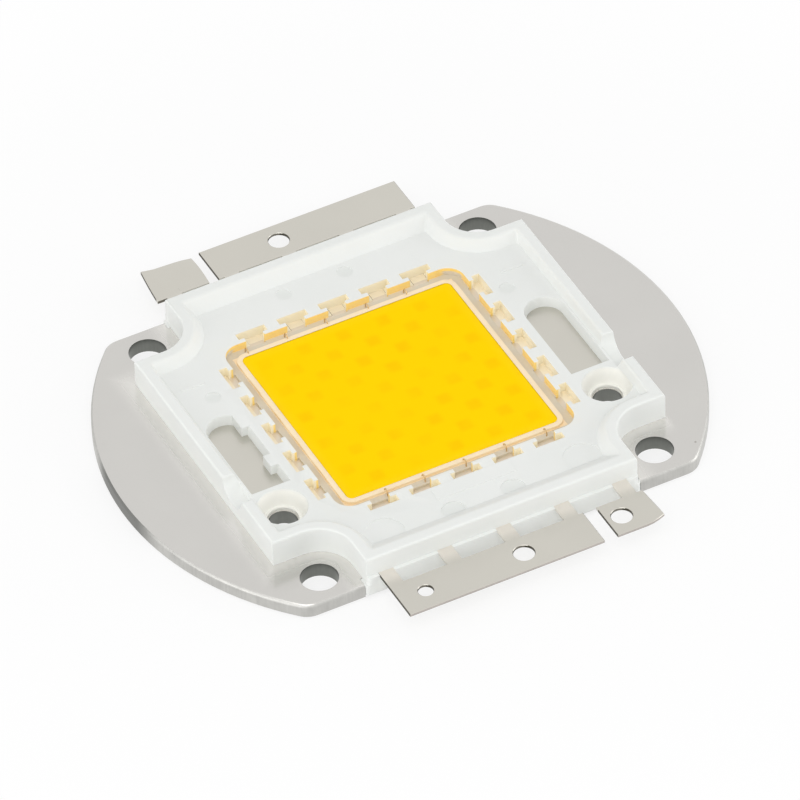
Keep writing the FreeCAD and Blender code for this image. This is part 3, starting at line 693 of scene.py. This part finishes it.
@dataclass
class Piece:
    """A refined copy of one CAD node, or a new mesh in its place.

    Attributes:
        node: Name of the CAD node that it stands for.
        slot: Record slot of its finish.
        paints: Materials.
    """

    node: str
    slot: Slot
    paints: Paints

    def copy_mesh(self) -> bmesh.types.BMesh:
        """Copy the node's mesh, with its seams welded and its flat faces joined."""
        mesh = bmesh.new()
        mesh.from_mesh(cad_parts[self.node].data)
        bmesh.ops.remove_doubles(mesh, verts=mesh.verts, dist=0.0005 * MM)
        bmesh.ops.dissolve_limit(
            mesh, angle_limit=math.radians(0.6), verts=mesh.verts, edges=mesh.edges, use_dissolve_boundaries=False
        )
        return mesh

    def round_edges(self, mesh: bmesh.types.BMesh, passes: Iterable[Rounding], sharp: float = 28.0) -> None:
        """Round the sharp edges that each pass asks for.

        Args:
            mesh: Mesh to change.
            passes: Roundings, in order.
            sharp: Smallest angle of an edge that counts, in degrees.
        """
        for rounding in passes:
            edges = []
            for edge in mesh.edges:
                if len(edge.link_faces) != 2 or edge.calc_face_angle(0) < math.radians(sharp):
                    continue
                first, last = (vertex.co / MM for vertex in edge.verts)
                if rounding.wanted((first + last) / 2, last - first):
                    edges.append(edge)
            bmesh.ops.bevel(
                mesh,
                geom=edges,
                offset=rounding.width_mm * MM,
                segments=rounding.segments,
                profile=0.5,
                affect="EDGES",
                clamp_overlap=True,
                harden_normals=False,
            )

    def edge(self, normal: Vector, centre: Vector) -> Edge:
        """Tell which cut edge a face belongs to.

        Args:
            normal: Direction of the face; not used here.
            centre: Middle of the face, in mm; not used here.

        Returns:
            The kind of edge.
        """
        return Edge.NONE

    def place(self, mesh: bmesh.types.BMesh, smooth: float = 34.0) -> bpy.types.Object:
        """Put a mesh in the scene in place of the node.

        Args:
            mesh: Mesh in the row frame, in metres.
            smooth: Angle up to which edges look smooth, in degrees.

        Returns:
            The new object.
        """
        for face in mesh.faces:
            face.smooth = True
        for edge in mesh.edges:
            edge.smooth = len(edge.link_faces) == 2 and edge.calc_face_angle(0) < math.radians(smooth)
        data = bpy.data.meshes.new(f"{self.node}_shape")
        mesh.to_mesh(data)
        mesh.free()
        data.materials.append(self.paints.made[self.slot])
        for material in self.paints.edges.get(self.slot, ()):
            data.materials.append(material)
        for face in data.polygons:
            face.material_index = self.edge(face.normal, face.center / MM).value
        piece = bpy.data.objects.new(f"{self.node}_piece", data)
        bpy.context.scene.collection.objects.link(piece)
        weighted = piece.modifiers.new("flat_faces", "WEIGHTED_NORMAL")
        weighted.weight = 100
        weighted.keep_sharp = True
        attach(piece, ROOT)
        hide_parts(self.node)
        return piece


@dataclass
class BasePlate(Piece):
    """Round metal plate.

    Attributes:
        arc_inside: Beyond this distance from the middle an upright face is the turned edge, in mm.
        flat_inside: Beyond this distance along Y it is the edge of a flat, in mm.
        bevel: Depth within which the rim's edges lie, in mm.
        hole_reach: Distance from a hole's middle within which its rim lies, in mm.
    """

    arc_inside: float = 26.0
    flat_inside: float = 19.2
    bevel: float = 0.4
    hole_reach: float = 1.9

    def edge(self, normal: Vector, centre: Vector) -> Edge:
        """Tell which faces are the plate's turned edge and which the walls of its holes."""
        if abs(normal.z) > 0.75:
            return Edge.NONE
        outward = normal.x * centre.x + normal.y * centre.y > 0
        turned = outward and math.hypot(centre.x, centre.y) > self.arc_inside
        return Edge.CUT if turned or abs(centre.y) > self.flat_inside else Edge.SIDE

    def build(self) -> bpy.types.Object:
        """Round the plate's rims and show it."""
        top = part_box(self.node)[1].z / MM

        def rim(middle: Vector, along: Vector) -> bool:
            """Both edges of the bevel round the plate."""
            outside = math.hypot(middle.x, middle.y) > 27.4 or abs(middle.y) > 19.6
            return outside and middle.z > top - self.bevel and abs(along.z) < 0.01

        def hole(middle: Vector, along: Vector) -> bool:
            """Rims of the mounting holes."""
            return middle.z > top - 0.01 and LAYOUT.from_hole(middle) < self.hole_reach

        mesh = self.copy_mesh()
        self.round_edges(mesh, [Rounding(0.12, rim, 2), Rounding(0.05, hole, 2)], sharp=20)
        return self.place(mesh)


@dataclass
class Housing(Piece):
    """White moulding with its dam.

    Attributes:
        notch_wall: Distance of the notches' straight walls from the middle, along X, in mm.
        skirt_top: Height of the skirts' upper edge, in mm.
        plate_top: Height of the plate, in mm.
        drawn_in: How far the ends of the skirts are moved, in mm.
        corner_ends: X and Y of the recess's corner walls where they meet its front and back walls, in mm.
        corner_sides: X and Y where they meet its side walls, in mm.
        recess: Where the recess begins to rise, along X and along Y, in mm.
        side_slot: Extent of the side slots, along X and along Y, in mm.
    """

    notch_wall: float = 13.7
    skirt_top: float = 2.3
    plate_top: float = 1.5
    drawn_in: float = 0.23
    corner_ends: tuple[Point, Point] = ((11.8, 13.8), (16.0, 19.2))
    corner_sides: tuple[Point, Point] = ((17.6, 19.2), (11.6, 13.8))
    recess: Point = (18.3, 17.2)
    side_slot: tuple[Point, Point] = ((14.0, 18.3), (-6.6, 4.5))

    def draw_in(self, mesh: bmesh.types.BMesh) -> None:
        """Bring the ends of the skirts over the plate level with the notch walls, but for a hair."""
        for height in (self.plate_top - 0.06, self.plate_top - 0.03):
            cut(mesh, Vector((0, 0, height * MM)), Vector((0, 0, 1)))
        for vertex in mesh.verts:
            x, y, z = vertex.co / MM
            over_plate = self.plate_top - 0.05 < z < self.skirt_top + 0.01
            at_end = abs(abs(x) - self.notch_wall) < 0.3 and abs(y) > 18.9
            if over_plate and at_end and (abs(x) > self.notch_wall + 0.02 or abs(y) > 20.01):
                vertex.co.x -= math.copysign(self.drawn_in * MM, x)

    def build(self) -> bpy.types.Object:
        """Round the moulding's edges and show it."""
        floor = LAYOUT.floor
        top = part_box(self.node)[1].z / MM
        window = self.paints.window_half
        light = self.paints.light_half

        def recess_corner(middle: Vector, along: Vector) -> bool:
            """Where the corner walls meet the front, back and side walls of the recess."""
            place = (abs(middle.x), abs(middle.y))
            standing = abs(along.z) > 0.5 and floor + 0.1 < middle.z < top - 0.1
            return standing and any(all(map(within, place, box)) for box in (self.corner_ends, self.corner_sides))

        def rim(middle: Vector, along: Vector) -> bool:
            """Top edges of the rim."""
            return middle.z > top - 0.02

        def floor_edge(middle: Vector, along: Vector) -> bool:
            """Where the floor meets the walls of the recess."""
            outside = max(abs(middle.x) - self.recess[0], abs(middle.y) - self.recess[1]) > -0.3
            return abs(middle.z - floor) < 0.02 and (outside or LAYOUT.from_hole(middle) < 5.5)

        def opening(middle: Vector, along: Vector) -> bool:
            """Top edges of the window, the slots and the side slots."""
            near = max(abs(middle.x), abs(middle.y)) < window + 1.5
            side = all(map(within, (abs(middle.x), middle.y), self.side_slot))
            return abs(middle.z - floor) < 0.02 and (near or side)

        def bore(middle: Vector, along: Vector) -> bool:
            """Rims of the countersunk bores."""
            return LAYOUT.from_bore(middle) < 2.5 and middle.z < floor + 0.02 and abs(along.z) < 0.05

        def dam(middle: Vector, along: Vector) -> bool:
            """Top edges of the dam, outside."""
            reach = max(abs(middle.x), abs(middle.y))
            return within(reach, (light + 0.2, window - 0.3)) and middle.z > floor - 0.6

        def upright(middle: Vector, along: Vector) -> bool:
            """Upright outer corners."""
            return abs(along.x) + abs(along.y) < 0.01 and (abs(middle.x) > 19.5 or middle.z > self.skirt_top)

        mesh = self.copy_mesh()
        self.draw_in(mesh)
        self.round_edges(mesh, [Rounding(0.9, recess_corner, 4)], sharp=12)
        self.round_edges(mesh, [Rounding(0.26, rim, 4), Rounding(0.6, floor_edge, 5), Rounding(0.09, opening, 2)])
        self.round_edges(mesh, [Rounding(0.12, bore, 2), Rounding(0.12, dam, 2), Rounding(0.12, upright, 2)])
        return self.place(mesh)


@dataclass
class Strip(Piece):
    """One terminal strip.

    Attributes:
        fingers_end: Where the fingers outside the housing end, along Y, in mm.
        bar_start: Where a handled tab begins to bend, along Y, in mm.
        bar_reach: Width of the bar from there, in mm.
        tip: Beyond this Y an upright face is the outer end of the bar, in mm.
        front_tab: Left end and width of the handled tab at the front, in mm.
        back_tab: Left end and width of the one at the back, in mm.
        steps: Cuts across a handled tab, along each side.
    """

    fingers_end: float = 22.1
    bar_start: float = 21.85
    bar_reach: float = 4.15
    tip: float = 25.7
    front_tab: Point = (11.4, 1.7)
    back_tab: Point = (-13.5, 5.3)
    steps: int = 12

    def edge(self, normal: Vector, centre: Vector) -> Edge:
        """Tell the dark sides of the bar, its bright outer end, its other cuts and the bright fingers apart."""
        sideways = abs(normal.x) > 0.5
        finger = sideways and within(abs(centre.y), (LAYOUT.end_wall, self.fingers_end))
        facing_wall = self.node.startswith("lead_back") and normal.y < -0.5
        back_bar = facing_wall and centre.y < 22.0 and centre.x > -12.6
        if finger or back_bar:
            return Edge.NONE
        if sideways:
            return Edge.SIDE
        if abs(normal.z) > 0.3:
            return Edge.NONE
        return Edge.TIP if abs(centre.y) > self.tip else Edge.CUT

    def curve(self, x: float, out: float) -> float:
        """Tell how far a handled tab rises over its plain form.

        Args:
            x: Place along X, in mm.
            out: Place over the bar, from 0 at its inner edge to 1 at its outer end.

        Returns:
            The rise, in mm.
        """
        at_front = self.node == "lead_front_short"
        left, width = self.front_tab if at_front else self.back_tab
        share = min(max((x - left) / width, 0.0), 1.0)
        if at_front:
            return 0.5 * out * (share * share - share)
        corner = max((share - 0.7) / 0.3, 0.0) * out
        return 4 * out * (1 - out) * (0.3 * share - 0.12) - 0.14 * corner * corner

    def bend(self, mesh: bmesh.types.BMesh) -> None:
        """Curve the tab between the two ends of its bar."""
        low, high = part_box(self.node)
        side = 1 if low.y > 0 else -1
        start, reach = self.bar_start * MM, self.bar_reach * MM
        for step in range(1, self.steps):
            cut(mesh, Vector((low.x + (high.x - low.x) * step / self.steps, 0, 0)), Vector((1, 0, 0)))
        for step in range(self.steps):
            cut(mesh, Vector((0, side * (start + reach * step / self.steps), 0)), Vector((0, 1, 0)))
        for vertex in mesh.verts:
            out = (side * vertex.co.y - start) / reach
            if out > 0:
                vertex.co.z += self.curve(vertex.co.x / MM, min(out, 1.0)) * MM

    def build(self) -> bpy.types.Object:
        """Ease the strip's edges, curve a short tab, and show it."""

        def flat(middle: Vector, along: Vector) -> bool:
            """Edges that run along the sheet."""
            return abs(along.z) < 0.5 * along.length

        mesh = self.copy_mesh()
        self.round_edges(mesh, [Rounding(0.03, flat, 1)])
        if self.node.endswith("short"):
            self.bend(mesh)
        return self.place(mesh)


@dataclass
class Gel(Piece):
    """Phosphor with a meniscus against the dam.

    Attributes:
        corner_radius: Radius of its corners, in mm.
        corner_steps: Sides of each rounded corner.
        meniscus: How far in from the edge the skin lies how far under its rim, in mm.
    """

    corner_radius: float = 0.6
    corner_steps: int = 6
    meniscus: tuple[Point, ...] = ((0.0, 0.0), (0.12, 0.018), (0.3, 0.03), (0.8, 0.036), (3.0, 0.036))

    def ring(self, half: float, radius: float) -> list[Point]:
        """List the points of a rounded square.

        Args:
            half: Half its width, in mm.
            radius: Radius of its corners, in mm.

        Returns:
            The points, in mm.
        """
        points = []
        for quarter, (x_sign, y_sign) in enumerate(((1, 1), (-1, 1), (-1, -1), (1, -1))):
            centre_x, centre_y = x_sign * (half - radius), y_sign * (half - radius)
            for step in range(self.corner_steps + 1):
                angle = math.radians(90 * (quarter + step / self.corner_steps))
                points.append((centre_x + radius * math.cos(angle), centre_y + radius * math.sin(angle)))
        return points

    def build(self) -> bpy.types.Object:
        """Build the gel as nested rings under one smooth skin."""
        low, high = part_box(self.node)
        half, top, bottom = high.x / MM, high.z / MM, low.z / MM
        levels = [(0.0, bottom)] + [(inset, top - depth) for inset, depth in self.meniscus]
        mesh = bmesh.new()
        rings = []
        for inset, height in levels:
            loop = self.ring(half - inset, max(self.corner_radius - inset, 0.02))
            rings.append([mesh.verts.new((x * MM, y * MM, height * MM)) for x, y in loop])
        skin(mesh, rings)
        return self.place(mesh, smooth=60)


@dataclass
class Wires:
    """Wire loops over the dam, as round smooth strands.

    Attributes:
        paints: Materials.
        sides: Sides of a strand.
        arc_steps: Pieces of the arc over the dam.
    """

    paints: Paints
    sides: int = 10
    arc_steps: int = 12

    def build(self) -> list[bpy.types.Object]:
        """Make a round strand for every wire node."""
        made = []
        for row in Row:
            for node in sorted(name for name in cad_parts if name.startswith(f"bond_wire_{row.value}")):
                made.append(self.strand(node, row))
        return made

    def strand(self, node: str, row: Row) -> bpy.types.Object:
        """Sweep one wire from its foot over the dam to the gel.

        Args:
            node: CAD node of the wire.
            row: Side that it is on.

        Returns:
            The new object.
        """
        low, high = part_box(node)
        side = 1 if row is Row.BACK else -1
        radius = (high.x - low.x) / 2
        outer = (high.y if side == 1 else low.y) - side * radius
        inner = (low.y if side == 1 else high.y) + side * radius
        reach = abs(outer - inner) / 2
        shoulder = high.z - radius - reach
        x, y = (low.x + high.x) / 2, (outer + inner) / 2
        path = [Vector((x, outer, low.z)), Vector((x, outer, (low.z + shoulder) / 2))]
        for step in range(self.arc_steps + 1):
            angle = math.pi * step / self.arc_steps
            path.append(Vector((x, y + side * reach * math.cos(angle), shoulder + reach * math.sin(angle))))
        across = Vector((1, 0, 0))
        turns = [math.tau * corner / self.sides for corner in range(self.sides)]
        mesh = bmesh.new()
        rings = []
        for index, point in enumerate(path):
            ahead = path[min(index + 1, len(path) - 1)] - path[max(index - 1, 0)]
            other = ahead.normalized().cross(across)
            rings.append([mesh.verts.new(point + radius * (math.cos(a) * across + math.sin(a) * other)) for a in turns])
        skin(mesh, rings)
        bmesh.ops.recalc_face_normals(mesh, faces=mesh.faces)
        return Piece(node, Slot.WIRE, self.paints).place(mesh, smooth=50)


# Camera, light and backdrop
@dataclass(frozen=True)
class PhotoCamera:
    """Camera that was fitted to the photograph.

    Attributes:
        azimuth: Direction it looks from, in degrees; 0 looks along +Y.
        elevation: Height over the horizon, in degrees.
        roll: Turn about the line of sight, in degrees.
        focal_px: Focal length in pixels of an 800 pixel wide picture.
        scale_px: Pixels a millimetre at the target.
        centre_px: Where the target falls in the picture.
        target_mm: Target point.
        width_px: Width of the picture.
        sensor_mm: Width of the camera's sensor.
    """

    azimuth: float = -26.28
    elevation: float = 42.704
    roll: float = -2.045
    focal_px: float = 11297.98
    scale_px: float = 11.046
    centre_px: Point = (399.778, 400.621)
    target_mm: tuple[float, float, float] = (0.0, 0.0, 1.5)
    width_px: int = 800
    sensor_mm: float = 36.0

    def build(self) -> bpy.types.Object:
        """Place the camera and make it the scene's own."""
        turn, lift, roll = (math.radians(angle) for angle in (self.azimuth, self.elevation, self.roll))
        back = Vector((math.sin(turn) * math.cos(lift), -math.cos(turn) * math.cos(lift), math.sin(lift)))
        level = Vector((math.cos(turn), math.sin(turn), 0))
        upward = back.cross(level)
        right = math.cos(roll) * level + math.sin(roll) * upward
        up = -math.sin(roll) * level + math.cos(roll) * upward
        away = self.focal_px / self.scale_px
        middle = self.width_px / 2
        shift_right = (self.centre_px[0] - middle) / self.focal_px * away
        shift_up = -(self.centre_px[1] - middle) / self.focal_px * away
        place = Vector(self.target_mm) - shift_right * right - shift_up * up + away * back
        data = bpy.data.cameras.new("photo_camera")
        data.sensor_width = self.sensor_mm
        data.lens = self.focal_px / self.width_px * self.sensor_mm
        data.clip_start = 0.01
        data.clip_end = 10.0
        camera = bpy.data.objects.new("photo_camera", data)
        turned = Matrix((right, up, back)).transposed().to_4x4()
        turned.translation = place * MM
        camera.matrix_world = turned
        bpy.context.scene.collection.objects.link(camera)
        bpy.context.scene.camera = camera
        return camera


@dataclass(frozen=True)
class SoftBox:
    """One area light.

    Attributes:
        name: Object name.
        place: Where it hangs, in metres.
        size: Width and height, in metres.
        power: Watts.
    """

    name: str
    place: tuple[float, float, float]
    size: Point
    power: float

    def build(self) -> bpy.types.Object:
        """Hang the light so that it faces the module."""
        data = bpy.data.lights.new(self.name, "AREA")
        data.shape = "RECTANGLE"
        data.size, data.size_y = self.size
        data.energy = self.power
        light = bpy.data.objects.new(self.name, data)
        light.location = self.place
        light.rotation_euler = Vector(self.place).to_track_quat("Z", "Y").to_euler()
        bpy.context.scene.collection.objects.link(light)
        return light


SOFT_BOXES = (
    SoftBox("front_box", (-0.2, -0.3, 0.5), (0.5, 0.5), 1.2),
    SoftBox("left_box", (-0.55, -0.1, 0.1), (0.4, 0.4), 0.9),
    SoftBox("right_box", (0.5, -0.2, 0.12), (0.3, 0.3), 0.85),
)


@dataclass(frozen=True)
class Studio:
    """White room round the module.

    Attributes:
        floor_width: Width of the floor, in metres.
        ambient: Brightness of the room that is not seen directly.
        plain: Share of plain white in the floor beside the module, where the rest shows the shadow.
        shadow_mm: Distances from the middle between which the shadow fades out.
        floor_white: How much light the floor throws back.
        gap_mm: How far the floor lies under the module.
    """

    floor_width: float = 4.0
    ambient: float = 0.68
    plain: float = 0.75
    shadow_mm: Point = (35.0, 80.0)
    floor_white: float = 0.95
    gap_mm: float = 0.1

    def build(self) -> None:
        """Build the floor, the room's light and the soft boxes."""
        self.floor()
        self.room()
        for box in SOFT_BOXES:
            box.build()
        bpy.context.scene.view_settings.view_transform = "Standard"

    def seen(self, tree: bpy.types.NodeTree) -> bpy.types.NodeSocket:
        """Tell the rays that look at the room, straight or in a mirror or through glass, from those that light it.

        Args:
            tree: Nodes to add to.

        Returns:
            A socket that is 1 for the rays that look.
        """
        path = tree.nodes.new("ShaderNodeLightPath")
        share = path.outputs["Is Camera Ray"]
        for name in ("Is Glossy Ray", "Is Transmission Ray"):
            largest = tree.nodes.new("ShaderNodeMath")
            largest.operation = "MAXIMUM"
            tree.links.new(share, largest.inputs[0])
            tree.links.new(path.outputs[name], largest.inputs[1])
            share = largest.outputs[0]
        return share

    def floor(self) -> bpy.types.Object:
        """Lay a white floor that throws light up, keeps a faint shadow and leaves the view from below free."""
        mesh = bmesh.new()
        bmesh.ops.create_grid(mesh, x_segments=4, y_segments=4, size=self.floor_width / 2)
        data = bpy.data.meshes.new("floor_shape")
        mesh.to_mesh(data)
        mesh.free()
        recipe = Recipe("floor_white")
        lit = recipe.node("ShaderNodeBsdfDiffuse", inputs={"Color": (*[self.floor_white] * 3, 1)})
        plain = recipe.node("ShaderNodeEmission", inputs={"Color": (1, 1, 1, 1), "Strength": 1.0})
        far = recipe.away(0.0, 0.0).ramp(*self.shadow_mm)
        share = Field(recipe, self.seen(recipe.tree)) * (far * (1.0 - self.plain) + self.plain)
        white = recipe.node("ShaderNodeMixShader", inputs={0: share, 1: lit.outputs[0], 2: plain.outputs[0]})
        under = recipe.node("ShaderNodeNewGeometry").outputs["Backfacing"]
        clear = recipe.node("ShaderNodeBsdfTransparent")
        blend = recipe.node("ShaderNodeMixShader", inputs={0: under, 1: white.outputs[0], 2: clear.outputs[0]})
        recipe.tree.links.new(blend.outputs[0], recipe.output.inputs["Surface"])
        data.materials.append(recipe.material)
        floor = bpy.data.objects.new("floor", data)
        floor.location.z = -self.gap_mm * MM
        floor.visible_glossy = False
        bpy.context.scene.collection.objects.link(floor)
        return floor

    def room(self) -> None:
        """Light the room evenly, and show it white behind the module."""
        world = bpy.data.worlds.new("room")
        bpy.context.scene.world = world
        world.use_nodes = True
        tree = world.node_tree
        tree.nodes.clear()
        output = tree.nodes.new("ShaderNodeOutputWorld")
        ambient = tree.nodes.new("ShaderNodeBackground")
        ambient.inputs["Strength"].default_value = self.ambient
        plain = tree.nodes.new("ShaderNodeBackground")
        plain.inputs["Strength"].default_value = 1.0
        for background in (ambient, plain):
            background.inputs["Color"].default_value = (1, 1, 1, 1)
        blend = tree.nodes.new("ShaderNodeMixShader")
        tree.links.new(self.seen(tree), blend.inputs[0])
        tree.links.new(ambient.outputs[0], blend.inputs[1])
        tree.links.new(plain.outputs[0], blend.inputs[2])
        tree.links.new(blend.outputs[0], output.inputs["Surface"])


def main() -> None:
    """Build the module, its camera and its studio."""
    logging.basicConfig(level=logging.INFO)
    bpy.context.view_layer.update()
    light_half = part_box("phosphor")[1].x / MM
    paints = Paints(light_half, light_half + LAYOUT.dam_width, light_half + LAYOUT.window_margin)
    paints.build()
    LOG.info("materials: %d", len(paints.made))
    BasePlate("base_plate", Slot.PLATE, paints).build()
    Housing("housing", Slot.PLASTIC, paints).build()
    for name in sorted(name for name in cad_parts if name.startswith("lead_")):
        Strip(name, Slot.LEAD, paints).build()
    Gel("phosphor", Slot.PHOSPHOR, paints).build()
    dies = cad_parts["die_array"]
    dies.data.materials.clear()
    dies.data.materials.append(paints.made[Slot.DIE])
    wires = Wires(paints).build()
    LOG.info("wires: %d", len(wires))
    PhotoCamera().build()
    Studio().build()


if __name__ == "__main__":
    main()
